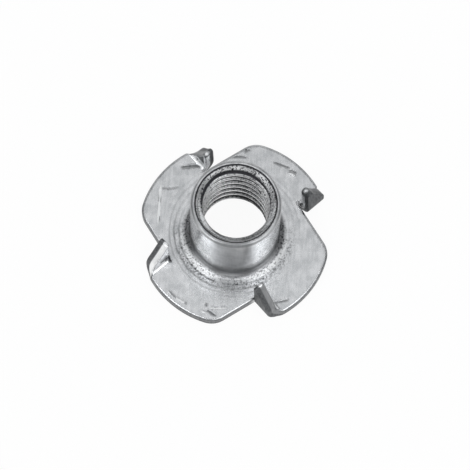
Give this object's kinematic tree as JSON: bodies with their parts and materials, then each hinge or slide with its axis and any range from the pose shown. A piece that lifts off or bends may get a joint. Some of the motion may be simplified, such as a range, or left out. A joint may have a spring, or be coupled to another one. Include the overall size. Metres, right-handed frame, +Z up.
{
  "type": "tee nut",
  "caption": "Pressed steel tee nut: a threaded barrel rising from a round flange, with prongs folded up from the flange's rim to bite into wood.",
  "frame": {"origin": "centre of the flange's underside, on the axis of the thread", "axes": "+Z runs up the thread's axis, from the flange to the rim of the barrel; +X runs through the inner end of one of the cuts that free the prongs; +Y completes the right-handed frame"},
  "size_m": [0.0254, 0.0254, 0.0133],
  "materials": {
    "zinc_plated_steel": "bright zinc plate on pressed mild steel, with forming marks"
  },
  "bodies": {
    "root": {"tee_nut": "zinc_plated_steel"}
  },
  "joints": []
}
